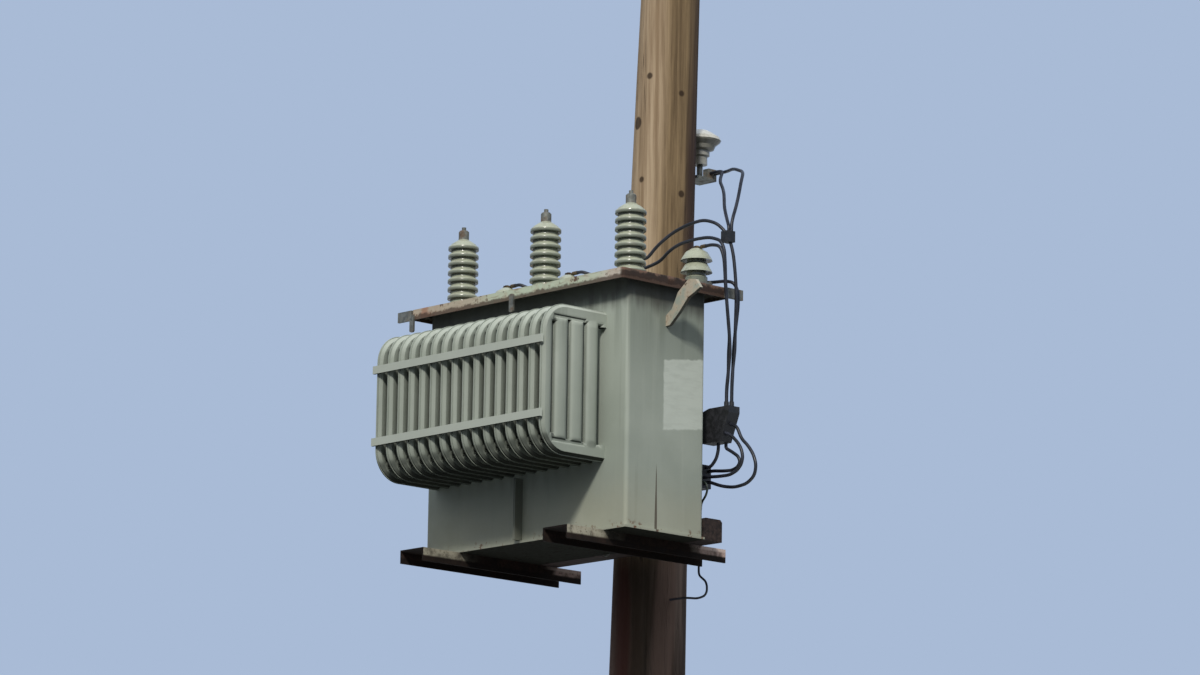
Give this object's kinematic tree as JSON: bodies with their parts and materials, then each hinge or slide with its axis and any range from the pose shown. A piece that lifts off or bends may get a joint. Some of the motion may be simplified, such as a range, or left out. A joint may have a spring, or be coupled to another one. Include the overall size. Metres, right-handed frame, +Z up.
{
  "type": "pole mounted transformer",
  "caption": "Oil filled distribution transformer with a fluted radiator and porcelain bushings, set on bars and a crossarm against a tapering wooden pole.",
  "frame": {"origin": "centre of the pole's foot, at ground level", "axes": "+Z up the pole, +X along the tank towards its right end as seen from the radiator side, -Y towards the radiator"},
  "size_m": [1.4047, 1.1727, 8.2],
  "materials": {
    "black_cable": "weathered sheath",
    "brass_terminal": "tarnished",
    "connector_housing": "weathered black housing",
    "dark_timber": "old, dark and dry",
    "galvanised_steel": "dull zinc",
    "glazed_porcelain": "grey glaze, dusty",
    "green_cable": "faded sheath",
    "lid_paint": "worn enamel with rust",
    "rusted_steel": "rusted, dull",
    "tank_paint": "grey-green enamel, chalked",
    "weathered_wood": "weathered, checked and dry"
  },
  "bodies": {
    "root": {"anchor_bracket": "galvanised_steel", "anchor_clamp": "connector_housing", "crossarm": "dark_timber", "earth_loop": "black_cable", "earth_wire": "green_cable", "hv_caps": "galvanised_steel", "hv_clamp_rings": "galvanised_steel", "hv_porcelains": "glazed_porcelain", "inner_loops": "black_cable", "insulator_bracket": "galvanised_steel", "lead_joint": "connector_housing", "lead_lugs": "brass_terminal", "lid": "lid_paint", "lid_clips": "galvanised_steel", "lid_lug": "galvanised_steel", "lifting_hooks": "tank_paint", "link_lead": "black_cable", "loop_cleat": "connector_housing", "lv_clamp_rings": "galvanised_steel", "lv_leads": "black_cable", "lv_porcelains": "glazed_porcelain", "lv_studs": "brass_terminal", "outer_loop": "black_cable", "platform_bars": "rusted_steel", "pole": "weathered_wood", "pole_insulator": "glazed_porcelain", "radiator_lower_tie": "tank_paint", "radiator_panels": "tank_paint", "radiator_upper_tie": "tank_paint", "tank": "tank_paint", "tank_base": "tank_paint", "tank_flange": "tank_paint", "tap_connectors": "connector_housing", "upper_leads": "black_cable", "wall_stiffener": "tank_paint"}
  },
  "joints": []
}
